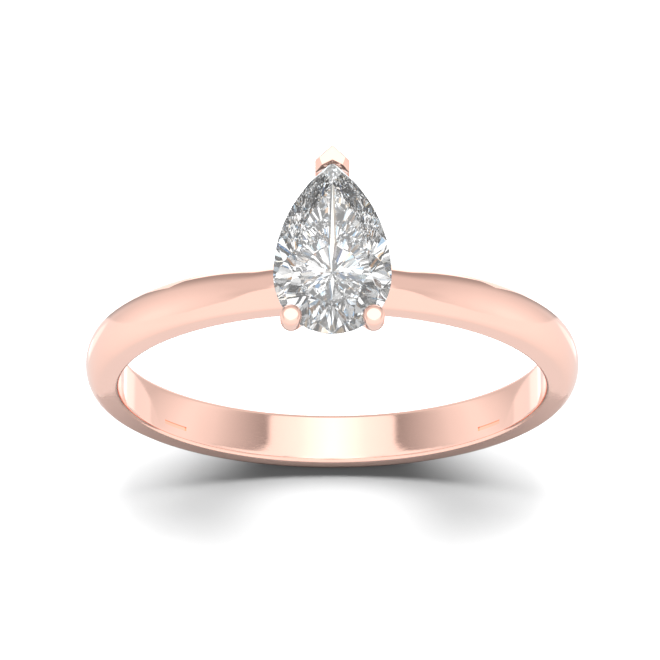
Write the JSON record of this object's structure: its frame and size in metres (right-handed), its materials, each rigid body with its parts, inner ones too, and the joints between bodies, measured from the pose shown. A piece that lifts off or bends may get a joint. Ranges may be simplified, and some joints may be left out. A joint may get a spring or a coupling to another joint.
{
  "type": "engagement ring",
  "caption": "Solitaire ring: a slim tapering domed shank, a pear-cut stone in a wire basket head, held by a V-shaped claw at its point and round claws at its round end.",
  "frame": {"origin": "centre of the finger hole, on the shank's mid-plane", "axes": "+Z from the finger hole up to the stone, +Y along the finger hole towards the stone's point, +X across the hoop to the right"},
  "size_m": [0.02, 0.0076, 0.0241],
  "materials": {
    "rose_gold": "polished",
    "diamond": "gloss"
  },
  "bodies": {
    "root": {"shank": "rose_gold", "head_base": "rose_gold", "lower_gallery": "rose_gold", "upper_gallery": "rose_gold", "v_prong": "rose_gold", "claw_prong_left": "rose_gold", "claw_prong_right": "rose_gold", "stone": "diamond"}
  },
  "joints": []
}
